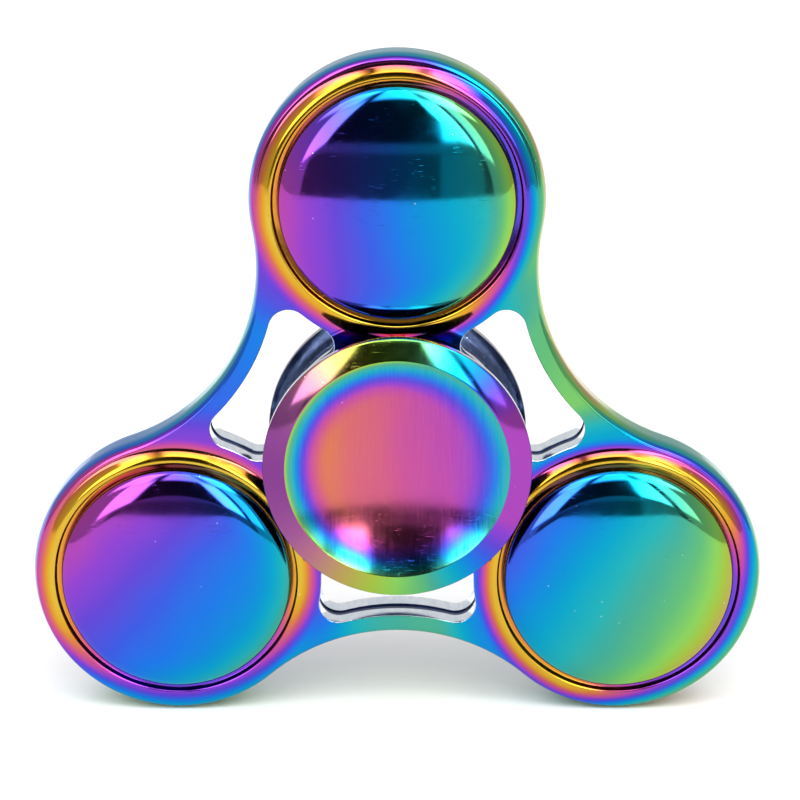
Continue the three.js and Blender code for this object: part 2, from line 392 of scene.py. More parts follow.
@dataclass
class Graph:
    """Short words for placing nodes in one node tree."""

    tree: bpy.types.NodeTree

    def node(self, kind: str, **settings: object) -> bpy.types.Node:
        """Adds a node and sets its own properties.

        Args:
            kind: Type of the node.
            **settings: Properties and their values.

        Returns:
            The node.
        """
        made = self.tree.nodes.new(kind)
        for key, value in settings.items():
            setattr(made, key, value)
        return made

    def feed(self, socket: Socket, source: Link) -> None:
        """Links a socket to an output, or sets it to a value.

        Args:
            socket: Input to feed.
            source: An output socket, a number, a tuple or None to leave it alone.
        """
        if source is None:
            return
        if isinstance(source, Socket):
            self.tree.links.new(source, socket)
        else:
            socket.default_value = source

    def math(self, operation: str, *sources: Link, clamp: bool = False) -> Socket:
        """A Math node on up to three sources.

        Args:
            operation: What it does.
            *sources: What it works on.
            clamp: Whether the result is held between 0 and 1.

        Returns:
            Its result.
        """
        made = self.node("ShaderNodeMath", operation=operation, use_clamp=clamp)
        for socket, source in zip(made.inputs, sources):
            self.feed(socket, source)
        return made.outputs[0]

    def vector(self, operation: str, *sources: Link, scale: Link = None) -> Socket:
        """A Vector Math node; measures come out of its Value output.

        Args:
            operation: What it does.
            *sources: Vectors that it works on.
            scale: Factor, for the scale operation.

        Returns:
            Its result.
        """
        made = self.node("ShaderNodeVectorMath", operation=operation)
        for socket, source in zip(made.inputs, sources):
            self.feed(socket, source)
        if scale is not None:
            self.feed(made.inputs["Scale"], scale)
        return made.outputs["Value" if operation in {"LENGTH", "DOT_PRODUCT"} else "Vector"]

    def remap(self, value: Link, low: float, high: float, to_low: Link, to_high: Link,
              kind: str = "SMOOTHSTEP") -> Socket:
        """A Map Range node that holds its ends.

        Args:
            value: What is mapped.
            low: Start of the range.
            high: End of the range.
            to_low: Result at the start.
            to_high: Result at the end.
            kind: How it goes from one to the other.

        Returns:
            The result.
        """
        made = self.node("ShaderNodeMapRange", interpolation_type=kind, clamp=True)
        for name, source in (("Value", value), ("From Min", low), ("From Max", high),
                             ("To Min", to_low), ("To Max", to_high)):
            self.feed(made.inputs[name], source)
        return made.outputs["Result"]

    def mix(self, factor: Link, first: Link, second: Link) -> Socket:
        """A colour Mix node.

        Args:
            factor: Share of the second colour.
            first: First colour.
            second: Second colour.

        Returns:
            The colour.
        """
        made = self.node("ShaderNodeMix", data_type="RGBA")
        for index, source in ((0, factor), (6, first), (7, second)):
            self.feed(made.inputs[index], source)
        return made.outputs[2]

    def noise(self, place: Link, scale: float, detail: float = 2.0, rough: float = 0.5) -> Socket:
        """A Noise Texture's grey value.

        Args:
            place: Where to read it.
            scale: Its scale.
            detail: Its detail.
            rough: Its roughness.

        Returns:
            The value, about 0.5 in the middle.
        """
        made = self.node("ShaderNodeTexNoise")
        self.feed(made.inputs["Vector"], place)
        made.inputs["Scale"].default_value = scale
        made.inputs["Detail"].default_value = detail
        made.inputs["Roughness"].default_value = rough
        return made.outputs["Fac"]

    def split(self, vector: Link) -> bpy.types.NodeOutputs:
        """The three parts of a vector.

        Args:
            vector: What is split.

        Returns:
            Outputs for X, Y and Z.
        """
        made = self.node("ShaderNodeSeparateXYZ")
        self.feed(made.inputs[0], vector)
        return made.outputs

    def flat_radius(self, place: Link) -> tuple[Socket, Socket]:
        """A place without its height along Y, and its distance from the middle.

        Args:
            place: Place in millimetres.

        Returns:
            The flat place and the radius.
        """
        flat = self.vector("MULTIPLY", place, (1.0, 0.0, 1.0))
        return flat, self.vector("LENGTH", flat)

    def relief(self, surface: bpy.types.Node, height: Link, strength: float, depth: float) -> None:
        """Feeds a surface's normal with a bump.

        Args:
            surface: Principled node.
            height: What stands proud or lies low.
            strength: Strength of the bump.
            depth: Depth of the bump in millimetres.
        """
        bump = self.node("ShaderNodeBump")
        bump.inputs["Strength"].default_value = strength
        bump.inputs["Distance"].default_value = depth * MM
        self.feed(bump.inputs["Height"], height)
        self.feed(surface.inputs["Normal"], bump.outputs[0])

    def millimetres(self, center: Spot = (0.0, 0.0)) -> Socket:
        """Object coordinates in millimetres from a centre.

        Args:
            center: Where to count from, as (x, z).

        Returns:
            The place.
        """
        place = self.node("ShaderNodeTexCoord").outputs["Object"]
        shifted = self.vector("SUBTRACT", place, (center[0] * MM, 0.0, center[1] * MM))
        return self.vector("SCALE", shifted, scale=1.0 / MM)

    def group(self, tree: bpy.types.NodeTree, **sources: Link) -> bpy.types.NodeOutputs:
        """Places a node group and feeds its named inputs.

        Args:
            tree: The group.
            **sources: Inputs by name.

        Returns:
            Its outputs.
        """
        made = self.node("ShaderNodeGroup", node_tree=tree)
        for name, source in sources.items():
            self.feed(made.inputs[name], source)
        return made.outputs


def new_group(
    name: str, inputs: dict[str, str], outputs: dict[str, str]
) -> tuple[Graph, bpy.types.NodeOutputs, bpy.types.NodeInputs]:
    """Starts a shader node group.

    Args:
        name: Name of the group.
        inputs: Input names with their socket types.
        outputs: Output names with their socket types.

    Returns:
        The group's graph, its inputs as sockets to read, and its outputs as sockets to feed.
    """
    tree = bpy.data.node_groups.new(name, "ShaderNodeTree")
    for in_out, sockets in (("INPUT", inputs), ("OUTPUT", outputs)):
        for socket, kind in sockets.items():
            tree.interface.new_socket(socket, in_out=in_out, socket_type=f"NodeSocket{kind}")
    graph = Graph(tree)
    entry = graph.node("NodeGroupInput")
    leave = graph.node("NodeGroupOutput")
    return graph, entry.outputs, leave.inputs


def srgb(red: int, green: int, blue: int) -> tuple[float, float, float, float]:
    """Linear colour of a screen colour given in steps of 255.

    Args:
        red: Red step.
        green: Green step.
        blue: Blue step.

    Returns:
        The colour with full alpha.
    """
    def linear(step: int) -> float:
        """One channel."""
        share = step / 255.0
        return share / 12.92 if share <= 0.04045 else ((share + 0.055) / 1.055) ** 2.4

    return linear(red), linear(green), linear(blue), 1.0


DUST_TONE = srgb(226, 230, 236)
# Dark plum painted shade for the crease where a cap's rim sits in its recess.
CAP_RIM_SHADE_TONE = srgb(74, 44, 92)
BRUSHED_TONE = srgb(240, 190, 190)
STEEL_DUST_TONE = srgb(200, 200, 196)
# The film's thickness runs from 0 to FILM_ORDER, and each stop has its screen colour.
FILM_ORDER = 18.0
FILM_COLOURS = (
    (0.0, (214, 208, 126)),
    (0.6, (224, 200, 78)),
    (1.2, (222, 168, 44)),
    (2.0, (220, 130, 66)),
    (2.7, (212, 104, 110)),
    (3.4, (202, 86, 142)),
    (4.2, (184, 74, 170)),
    (5.0, (142, 68, 204)),
    (5.8, (100, 72, 210)),
    (6.6, (62, 92, 222)),
    (7.4, (34, 120, 226)),
    (8.2, (18, 144, 210)),
    (9.0, (14, 164, 198)),
    (10.0, (38, 176, 180)),
    (11.0, (72, 172, 148)),
    (12.0, (100, 186, 118)),
    (13.0, (138, 206, 94)),
    (14.0, (166, 194, 68)),
    (15.2, (188, 162, 88)),
    (16.4, (184, 116, 132)),
    (17.2, (158, 88, 146)),
    (18.0, (134, 66, 142)),
)
FILM_REFLECTANCE = 0.76


@dataclass(frozen=True)
class Effects:
    """The node groups that several finishes share."""

    film_colour: bpy.types.NodeTree
    tilt_film: bpy.types.NodeTree
    polish: bpy.types.NodeTree
    grain: bpy.types.NodeTree

    @staticmethod
    def film_colour_group() -> bpy.types.NodeTree:
        """Interference colour of the coating from its thickness along the film order.

        Returns:
            The group.
        """
        graph, given, out = new_group("film_colour", {"Thickness": "Float"}, {"Colour": "Color"})
        share = graph.math("DIVIDE", given["Thickness"], FILM_ORDER, clamp=True)
        ramp = graph.node("ShaderNodeValToRGB")
        graph.feed(ramp.inputs[0], share)
        stops = ramp.color_ramp.elements
        while len(stops) < len(FILM_COLOURS):
            stops.new(0.5)
        for stop, (thickness, _) in zip(stops, FILM_COLOURS):
            stop.position = thickness / FILM_ORDER
        for stop, (_, colour) in zip(stops, FILM_COLOURS):
            stop.color = (*(FILM_REFLECTANCE * part for part in srgb(*colour)[:3]), 1.0)
        graph.feed(out["Colour"], ramp.outputs["Color"])
        return graph.tree

    @staticmethod
    def tilt_film_group() -> bpy.types.NodeTree:
        """Film that thickens across a round piece and again near its rim on the +X side.

        Returns:
            The group.
        """
        graph, given, out = new_group(
            "tilt_film",
            {"Place": "Vector", "Middle": "Float", "Across": "Float", "Down": "Float",
             "Rim": "Float", "Rim Radius": "Float"},
            {"Thickness": "Float", "Radius": "Float"},
        )
        parts = graph.split(given["Place"])
        radius = graph.flat_radius(given["Place"])[1]
        across = graph.math("MULTIPLY_ADD", parts[0], given["Across"], given["Middle"])
        down = graph.math("MULTIPLY", parts[2], given["Down"])
        base = graph.math("SUBTRACT", across, down)
        share = graph.math("DIVIDE", radius, given["Rim Radius"])
        steep = graph.math("POWER", graph.remap(share, 0.6, 1.0, 0.0, 1.0, "LINEAR"), 2.4)
        wander = graph.noise(given["Place"], 0.12, 1.0)
        drift = graph.math("MULTIPLY_ADD", wander, 0.8, -0.4)
        rightward = graph.remap(graph.math("DIVIDE", parts[0], radius), -0.7, 0.7, 0.0, 1.0)
        steep = graph.math("MULTIPLY", steep, rightward)
        rim = graph.math("MULTIPLY_ADD", steep, given["Rim"], drift)
        graph.feed(out["Thickness"], graph.math("ADD", base, rim))
        graph.feed(out["Radius"], radius)
        return graph.tree

    @staticmethod
    def polish_group() -> bpy.types.NodeTree:
        """Handling marks of a polished piece: hairline scratches, smudges and specks of dust.

        Returns:
            The group.
        """
        graph, given, out = new_group(
            "polish_marks",
            {"Place": "Vector", "Roughness": "Float", "Smudge": "Float"},
            {"Roughness": "Float", "Height": "Float", "Dust": "Float"},
        )
        smudge = graph.remap(graph.noise(given["Place"], 0.35, 4.0, 0.6), 0.35, 0.75, 0.0, 1.0)
        bent = graph.vector("ADD", given["Place"], graph.vector("SCALE", given["Place"], scale=0.37))
        lines = []
        for turn, stretch in ((0.5, (0.35, 1.0, 9.0)), (1.9, (0.3, 1.0, 11.0))):
            mapping = graph.node("ShaderNodeMapping")
            graph.feed(mapping.inputs["Vector"], bent)
            mapping.inputs["Rotation"].default_value = (0.0, turn, 0.0)
            mapping.inputs["Scale"].default_value = stretch
            streak = graph.noise(mapping.outputs[0], 1.3, 3.0, 0.55)
            lines.append(graph.remap(streak, 0.66, 0.72, 0.0, 1.0))
        scratch = graph.math("MAXIMUM", lines[0], lines[1])
        patches = graph.remap(graph.noise(given["Place"], 0.5, 2.0), 0.5, 0.68, 0.0, 1.0)
        scratch = graph.math("MULTIPLY", scratch, patches)
        cells = graph.node("ShaderNodeTexVoronoi", feature="F1")
        graph.feed(cells.inputs["Vector"], given["Place"])
        cells.inputs["Scale"].default_value = 1.1
        speck = graph.remap(cells.outputs["Distance"], 0.03, 0.07, 1.0, 0.0)
        chosen = graph.split(cells.outputs["Color"])
        rare = graph.math("GREATER_THAN", chosen[0], 0.9)
        rough = graph.math("MULTIPLY_ADD", smudge, given["Smudge"], given["Roughness"])
        rough = graph.math("MULTIPLY_ADD", scratch, 0.12, rough)
        graph.feed(out["Roughness"], rough)
        graph.feed(out["Height"], graph.math("MULTIPLY", scratch, -1.0))
        graph.feed(out["Dust"], graph.math("MULTIPLY", speck, rare))
        return graph.tree

    @staticmethod
    def grain_group() -> bpy.types.NodeTree:
        """Grain left by brushing or turning, stretched along one direction.

        Returns:
            The group.
        """
        graph, given, out = new_group(
            "brushed_grain",
            {"Place": "Vector", "Stretch": "Vector", "Fineness": "Float"},
            {"Height": "Float", "Streak": "Float"},
        )
        drawn = graph.vector("MULTIPLY", given["Place"], given["Stretch"])
        sized = graph.vector("SCALE", drawn, scale=given["Fineness"])
        fine = graph.noise(sized, 1.0, 4.0, 0.65)
        broad = graph.noise(sized, 0.28, 2.0, 0.5)
        graph.feed(out["Height"], graph.math("MULTIPLY_ADD", broad, 0.6, fine))
        graph.feed(out["Streak"], graph.remap(fine, 0.3, 0.7, 0.0, 1.0))
        return graph.tree

    @classmethod
    def build(cls) -> "Effects":
        """Makes every group once."""
        return cls(cls.film_colour_group(), cls.tilt_film_group(), cls.polish_group(), cls.grain_group())


def metal_material(name: str) -> tuple[Graph, bpy.types.Node]:
    """Starts a metal material.

    Args:
        name: Name of the material.

    Returns:
        Its graph and its Principled node.
    """
    material = bpy.data.materials.new(name)
    material.use_nodes = True
    graph = Graph(material.node_tree)
    graph.tree.nodes.clear()
    surface = graph.node("ShaderNodeBsdfPrincipled")
    output = graph.node("ShaderNodeOutputMaterial")
    graph.tree.links.new(surface.outputs[0], output.inputs["Surface"])
    surface.inputs["Metallic"].default_value = 1.0
    return graph, surface


def material_of(graph: Graph) -> bpy.types.Material:
    """The material whose tree a graph holds."""
    return next(m for m in bpy.data.materials if m.node_tree == graph.tree)


@dataclass(frozen=True)
class FilmFinish:
    """Rainbow film over a mirror-polished round piece, with painted shade darkening its outer rim where it
    sits in its recess.

    Args:
        name: Name of the material.
        center: Middle of the piece, as (x, z) in millimetres.
        middle: Film order at the middle.
        across: Change of the film per millimetre towards +X.
        down: Change of the film per millimetre towards -Z.
        rim: Extra film at the rim.
        rim_radius: Radius at which the rim's extra film and the full painted rim shade are reached.
    """

    name: str
    center: Spot
    middle: float
    across: float
    down: float
    rim: float
    rim_radius: float

    def build(self, effects: Effects) -> bpy.types.Material:
        """Makes the material.

        Args:
            effects: The shared node groups.

        Returns:
            The material.
        """
        graph, surface = metal_material(self.name)
        local = graph.millimetres(self.center)
        film = graph.group(
            effects.tilt_film, **{"Place": local, "Middle": self.middle, "Across": self.across,
                                  "Down": self.down, "Rim": self.rim, "Rim Radius": self.rim_radius})
        colour = graph.group(effects.film_colour, Thickness=film["Thickness"])["Colour"]
        marks = graph.group(effects.polish, Place=graph.millimetres(), Roughness=0.055, Smudge=0.05)
        # Painted shade: the outermost rim darkens halfway to a dark plum, standing in for the shadowed
        # crease at the recess.
        edge = graph.remap(film["Radius"], self.rim_radius - 0.12, self.rim_radius - 0.01, 0.0, 0.5)
        rim_shaded = graph.mix(edge, colour, CAP_RIM_SHADE_TONE)
        graph.feed(surface.inputs["Base Color"], graph.mix(marks["Dust"], rim_shaded, DUST_TONE))
        graph.feed(surface.inputs["Roughness"], marks["Roughness"])
        graph.relief(surface, marks["Height"], 0.12, 0.02)
        return material_of(graph)


@dataclass(frozen=True)
class PadFinish:
    """Rainbow film over a turned finger pad: brushed dish and polished bevel ring.

    Args:
        name: Name of the material.
        dish_radius: Where the dish ends and the ring starts.
        middle: Film order in the middle of the dish, along X.
        climb_start: Radius from which the film thickens towards the dish's edge.
        climb: What the film gains at the dish's edge, along X.
        ring: Film order of the ring, along X over the radius.
        ring_right: What the ring's film loses to the right, along X over the radius.
    """

    name: str = "pad_film"
    dish_radius: float = 11.2
    middle: Span = (-7.0, 9.0, 2.3, 4.9)
    climb_start: float = 6.8
    climb: Span = (-9.0, 9.0, 10.8, 5.8)
    ring: Span = (-1.0, 0.2, 18.0, 11.9)
    ring_right: Span = (0.2, 0.9, 0.0, -7.4)

    def build(self, effects: Effects) -> bpy.types.Material:
        """Makes the material.

        Args:
            effects: The shared node groups.

        Returns:
            The material.
        """
        graph, surface = metal_material(self.name)
        local = graph.millimetres()
        parts = graph.split(local)
        radius = graph.flat_radius(local)[1]
        base = graph.remap(parts[0], *self.middle, "LINEAR")
        uneven = graph.noise(graph.vector("MULTIPLY", local, (1.0, 1.0, 0.35)), 0.16, 2.0)
        base = graph.math("ADD", base, graph.math("MULTIPLY_ADD", uneven, 1.0, -0.5))
        edge = graph.remap(radius, self.climb_start, self.dish_radius, 0.0, 1.0, "LINEAR")
        climb = graph.remap(parts[0], *self.climb, "LINEAR")
        dish = graph.math("MULTIPLY_ADD", graph.math("POWER", edge, 2.2), climb, base)
        share = graph.math("DIVIDE", parts[0], radius)
        ring = graph.math("ADD", graph.remap(share, *self.ring, "LINEAR"),
                          graph.remap(share, *self.ring_right, "LINEAR"))
        outside = graph.remap(radius, self.dish_radius, self.dish_radius + 0.12, 0.0, 1.0)
        inside = graph.math("SUBTRACT", 1.0, outside)
        thickness = graph.math("ADD", graph.math("MULTIPLY", dish, inside),
                               graph.math("MULTIPLY", ring, outside))
        colour = graph.group(effects.film_colour, Thickness=thickness)["Colour"]
        marks = graph.group(effects.polish, Place=local, Roughness=0.07, Smudge=0.05)
        grain = graph.group(effects.grain, Place=local, Stretch=(5.0, 1.0, 0.22), Fineness=1.0)
        streak = graph.math("MULTIPLY", grain["Streak"], inside)
        shaded = graph.mix(graph.math("MULTIPLY", streak, 0.03), colour, BRUSHED_TONE)
        graph.feed(surface.inputs["Base Color"], graph.mix(marks["Dust"], shaded, DUST_TONE))
        rough = graph.math("MULTIPLY_ADD", streak, 0.04, marks["Roughness"])
        graph.feed(surface.inputs["Roughness"], graph.math("MULTIPLY_ADD", inside, 0.03, rough))
        relief = graph.math("MULTIPLY_ADD", graph.math("MULTIPLY", grain["Height"], inside), 0.09,
                            marks["Height"])
        graph.relief(surface, relief, 0.15, 0.02)
        return material_of(graph)


@dataclass(frozen=True)
class BodyFilm:
    """Rainbow film over the polished body: gold round the caps, then magenta to green outwards.

    Args:
        name: Name of the material.
        lobe_distance: Distance of the lobes' centres from the hub.
        lip_radius: Radius of the gold lip round a cap.
        film_width: Width over which the film climbs outside the lip.
        near_share: Share of the climb that is done within that width.
        arm_start: Radius from which a lobe's film gives way to the arms' film.
        arm_end: Radius at which only the arms' film is left.
        recess_inner: Radius up to which the recess has thicker film.
        recess_outer: Radius from which it has not.
        lip: Film order of the lip, along the direction of its thick side.
        arms: Film order of the arms, along X.
        foot_middle: What the film gains near the middle below the hub, away from X = 0.
        foot: Where that gain starts, along Z.
        side: What the film gains on the outer side, by the height along Y.
    """

    name: str = "body_film"
    lobe_distance: float = LOBE_DISTANCE
    lip_radius: float = 12.9
    film_width: float = 2.4
    near_share: float = 0.62
    arm_start: float = 14.8
    arm_end: float = 19.5
    recess_inner: float = 11.9
    recess_outer: float = 12.5
    lip: Span = (0.2, 1.0, 1.0, 5.2)
    arms: Span = (-17.0, 17.0, 7.0, 12.4)
    foot_middle: Span = (1.5, 8.0, 1.2, 0.0)
    foot: Span = (-14.0, -10.0, 1.0, 0.0)
    side: Span = (2.15, 2.45, 2.6, 0.0)

    def lobe_field(self, graph: Graph, lobe: Lobe) -> tuple[Socket, Socket]:
        """Distance from one lobe's centre and the film order near that lobe.

        Args:
            graph: Graph to add to.
            lobe: Which lobe.

        Returns:
            The radius and the film order.
        """
        thick_side = {Lobe.TOP: 12.0, Lobe.LEFT: 276.0, Lobe.RIGHT: 322.0}[lobe]
        local = graph.millimetres(polar(self.lobe_distance, lobe.value))
        flat, radius = graph.flat_radius(local)
        ahead = polar(1.0, thick_side)
        towards = graph.vector("DOT_PRODUCT", flat, (ahead[0], 0.0, ahead[1]))
        lip = graph.remap(graph.math("DIVIDE", towards, radius), *self.lip)
        reach = graph.math("MULTIPLY_ADD", lip, 0.1, radius)
        lip_end = self.lip_radius + self.film_width
        fast = graph.remap(reach, self.lip_radius, lip_end, 0.0, self.near_share)
        slow = graph.remap(radius, self.arm_start, self.arm_end, 0.0, 1.0 - self.near_share)
        climb = graph.math("ADD", fast, slow)
        plateau = graph.math("MULTIPLY", climb, self.plateau(graph))
        fade = graph.remap(radius, self.arm_start, self.arm_end, 1.0, 0.0)
        recess = graph.remap(radius, self.recess_inner, self.recess_outer, 1.0, 0.0)
        near = graph.math("ADD", plateau, recess)
        return radius, graph.math("MULTIPLY_ADD", lip, fade, near)

    def plateau(self, graph: Graph) -> Socket:
        """Film order away from the lobes, thicker towards the right.

        Args:
            graph: Graph to add to.

        Returns:
            The film order.
        """
        parts = graph.split(graph.millimetres())
        tilt = graph.remap(parts[0], *self.arms, "LINEAR")
        middle = graph.remap(graph.math("ABSOLUTE", parts[0]), *self.foot_middle)
        below = graph.remap(parts[2], *self.foot)
        return graph.math("MULTIPLY_ADD", middle, below, tilt)

    def build(self, effects: Effects) -> bpy.types.Material:
        """Makes the material.

        Args:
            effects: The shared node groups.

        Returns:
            The material.
        """
        graph, surface = metal_material(self.name)
        local = graph.millimetres()
        nearest, film = self.lobe_field(graph, Lobe.TOP)
        for lobe in (Lobe.LEFT, Lobe.RIGHT):
            radius, near_film = self.lobe_field(graph, lobe)
            closer = graph.math("LESS_THAN", radius, nearest)
            keep = graph.math("SUBTRACT", 1.0, closer)
            film = graph.math("ADD", graph.math("MULTIPLY", film, keep),
                              graph.math("MULTIPLY", near_film, closer))
            nearest = graph.math("MINIMUM", nearest, radius)
        drift = graph.math("MULTIPLY_ADD", graph.noise(local, 0.09, 2.0), 1.0, -0.5)
        level = graph.math("ABSOLUTE", graph.split(local)[1])
        side = graph.remap(level, *self.side)
        film = graph.math("ADD", graph.math("ADD", film, drift), side)
        colour = graph.group(effects.film_colour, Thickness=film)["Colour"]
        marks = graph.group(effects.polish, Place=local, Roughness=0.07, Smudge=0.06)
        grain = graph.group(effects.grain, Place=local, Stretch=(1.2, 1.0, 2.2), Fineness=0.8)
        graph.feed(surface.inputs["Base Color"], graph.mix(marks["Dust"], colour, DUST_TONE))
        graph.feed(surface.inputs["Roughness"], marks["Roughness"])
        relief = graph.math("MULTIPLY_ADD", grain["Height"], 0.2, marks["Height"])
        graph.relief(surface, relief, 0.1, 0.02)
        return material_of(graph)


@dataclass(frozen=True)
class SteelFinish:
    """Bare or thinly coated steel with turning or casting grain.

    Args:
        name: Name of the material.
        tone: Colour of the metal.
        shade: Colour of its darker streaks.
        roughness: Base roughness.
        stretch: How the grain is drawn out along X, Y and Z.
        relief: Strength of the grain's bump.
    """

    name: str
    tone: tuple[int, int, int]
    shade: tuple[int, int, int]
    roughness: float = 0.18
    stretch: tuple[float, float, float] = (1.0, 6.0, 1.0)
    relief: float = 0.2

    def build(self, effects: Effects) -> bpy.types.Material:
        """Makes the material.

        Args:
            effects: The shared node groups.

        Returns:
            The material.
        """
        graph, surface = metal_material(self.name)
        local = graph.millimetres()
        grain = graph.group(effects.grain, Place=local, Stretch=self.stretch, Fineness=1.4)
        marks = graph.group(effects.polish, Place=local, Roughness=self.roughness, Smudge=0.08)
        blend = graph.math("MULTIPLY", grain["Streak"], 0.6)
        colour = graph.mix(blend, srgb(*self.tone), srgb(*self.shade))
        graph.feed(surface.inputs["Base Color"], graph.mix(marks["Dust"], colour, STEEL_DUST_TONE))
        graph.feed(surface.inputs["Roughness"], marks["Roughness"])
        graph.relief(surface, grain["Height"], self.relief, 0.03)
        return material_of(graph)


def dress(piece: bpy.types.Object, material: bpy.types.Material) -> None:
    """Gives a piece one material all over."""
    piece.data.materials.clear()
    piece.data.materials.append(material)


def settle(piece: bpy.types.Object, body: str, node: str, slot: Slot) -> None:
    """Rides a finished piece on its body in place of its CAD node.

    Args:
        piece: The finished piece.
        body: CAD body that it moves with.
        node: CAD node that it stands for.
        slot: Material slot that its finish belongs to; not used.
    """
    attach(piece, body)
    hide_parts(node)
    LOG.info("%s rides on %s for %s: %d faces", piece.name, body, node, len(piece.data.polygons))


# ---------------------------------------------------------------- sub-assemblies


@dataclass
class SpinnerBody:
    """Three-lobed body with three windows, a recess in each lobe face and the bearing housing."""

    effects: Effects
    lobe_distance: float = LOBE_DISTANCE
    lobe_radius: float = 14.8
    waist_distance: float = 19.4
    crease_inset: float = 0.5
    face_level: float = 2.8
    land_level: float = 1.4
    hub_radius: float = 12.2
    window_lobe_radius: float = 14.9
    window_wall_distance: float = 17.3
    window_corner: float = 2.0
    window_reach: tuple[float, float] = (11.5, 20.0)
    past_lobe: float = 14.6
    past_waist: float = 20.6
    side_bow: tuple[float, float] = (0.13, 2.05)
    groove_lip: tuple[float, float] = (0.05, 0.62)
    groove_floor: tuple[float, float] = (0.2, 0.36)
    parting_level: float = 0.58
    rim_foot: float = 13.78
    rim_top: float = 12.98
    lip_level: float = 3.3
    recess_radius: float = 12.4
    recess_level: float = 2.55
    lobe_bore: float = 9.05
    collar_radius: float = 12.05
    collar_level: float = 3.5
    hub_bore: float = 11.05
    round_steps: int = 128
    lobe_steps: int = 72
    waist_steps: int = 30
    wall_steps: tuple[int, int, int, int] = (14, 6, 14, 6)
    corner_steps: int = 10

    def waist_center_distance(self) -> float:
        """Distance from the hub to the centre of a waist arc.

        Returns:
            The distance.
        """
        reach = self.lobe_radius - self.waist_distance
        along = self.lobe_distance * math.cos(math.radians(60))
        return (self.lobe_distance**2 - reach**2) / (2 * (along + reach))

    def mirrored(self, half: Sequence[Corner]) -> list[Corner]:
        """A section from the front face to the rear face from its front half."""
        return list(half) + [(across, -along, rounding) for across, along, rounding in reversed(half)]

    def side_section(self) -> list[Corner]:
        """Outer side as (inset, height, rounding): rounded crease, bowed wall, land.

        Returns:
            The section from front to rear.
        """
        return self.mirrored([
            (self.crease_inset + 0.25, -self.face_level, 0.0),
            (self.crease_inset, -self.face_level, 0.22),
            (self.side_bow[0], -self.side_bow[1], 0.5),
            (0.0, -self.land_level + 0.2, 0.5),
        ])

    def window_section(self) -> list[Corner]:
        """Window wall as (inset, height, rounding) with the casting's parting line at mid depth.

        Returns:
            The section from front to rear.
        """
        return self.mirrored([
            (0.13, -self.face_level, 0.0),
            (0.0, -self.face_level, 0.11),
            (self.groove_lip[0], -self.groove_lip[1], 0.1),
            (self.groove_floor[0], -self.groove_floor[1], 0.1),
        ])

    def recess_section(self) -> list[Corner]:
        """Raised lobe rim, recess and bore as (radius, height, rounding).

        Returns:
            The section from front to rear.
        """
        return self.mirrored([
            (self.rim_foot + 0.26, -self.face_level, 0.0),
            (self.rim_foot, -self.face_level, 0.22),
            (self.rim_top, -self.lip_level, 0.3),
            (self.recess_radius, -self.lip_level, 0.2),
            (self.recess_radius, -self.recess_level, 0.14),
            (self.lobe_bore, -self.recess_level, 0.1),
        ])

    def collar_section(self) -> list[Corner]:
        """Bearing housing as (radius, height, rounding).

        Returns:
            The section from front to rear.
        """
        return self.mirrored([
            (self.collar_radius + 0.012, -self.face_level, 0.0),
            (self.collar_radius, -self.face_level, 0.0),
            (self.collar_radius, -self.collar_level, 0.25),
            (self.hub_bore, -self.collar_level, 0.12),
        ])

    def sweep_outline(self, bench: Bench) -> None:
        """Sweeps the side section round the three lobes and the three waists.

        Args:
            bench: Mesh to add to.
        """
        distance = self.waist_center_distance()
        lobes = ring_of_three(self.lobe_distance, 90.0)
        waists = ring_of_three(distance, 150.0)
        half_lobe = wrapped(heading(lobes[0], waists[0]) - 90.0)
        half_waist = wrapped(heading(waists[0], lobes[0]) - (150.0 - 180.0))
        start = polar(1.0, 90.0 - half_lobe)
        cx, cz = lobes[0]

        def place(inset: float, height: float) -> Vector:
            """Where a section point lies at the start of the outline."""
            reach = self.lobe_radius - inset
            return Vector((cx + reach * start[0], height, cz + reach * start[1]))

        bench.wire(self.side_section(), place)
        for lobe, waist in zip(lobes, waists):
            bench.sweep(lobe, 2.0 * half_lobe, self.lobe_steps)
            bench.sweep(waist, -2.0 * half_waist, self.waist_steps)

    def window_corners(self, direction: float) -> tuple[list[Spot], list[Spot], list[float]]:
        """Wall centres, corner centres and wall radii of a window.

        Args:
            direction: Direction of the window from the hub.

        Returns:
            Centres of the four walls in order, centres of the corners after them, and the radii.
        """
        distance = self.waist_center_distance()
        centers = [
            (0.0, 0.0),
            polar(self.lobe_distance, direction - 60.0),
            polar(distance, direction),
            polar(self.lobe_distance, direction + 60.0),
        ]
        radii = [self.hub_radius, self.window_lobe_radius,
                 distance - self.window_wall_distance, self.window_lobe_radius]
        corners = []
        for i, center in enumerate(centers):
            other = centers[(i + 1) % 4]
            near = radii[i] + self.window_corner
            far = radii[(i + 1) % 4] + self.window_corner
            gap = math.dist(center, other)
            along = (gap**2 + near**2 - far**2) / (2 * gap)
            across = math.sqrt(near**2 - along**2)
            ux, uz = (other[0] - center[0]) / gap, (other[1] - center[1]) / gap
            corners.append((center[0] + along * ux - across * uz, center[1] + along * uz + across * ux))
        return centers, corners, radii

    def sweep_window(self, bench: Bench, direction: float) -> None:
        """Sweeps the window section round its four walls and four corners.

        Args:
            bench: Mesh to add to.
            direction: Direction of the window from the hub.
        """
        centers, corners, radii = self.window_corners(direction)
        first = heading(centers[0], corners[3])
        ux, uz = polar(1.0, first)

        def place(inset: float, height: float) -> Vector:
            """Where a section point lies at the start of the window."""
            reach = radii[0] - inset
            return Vector((reach * ux, height, reach * uz))

        bench.wire(self.window_section(), place)
        for i, center in enumerate(centers):
            enter = heading(center, corners[i - 1])
            leave = heading(center, corners[i])
            bench.sweep(center, wrapped(leave - enter), self.wall_steps[i])
            enter = heading(corners[i], center)
            leave = heading(corners[i], centers[(i + 1) % 4])
            bench.sweep(corners[i], wrapped(leave - enter), self.corner_steps)

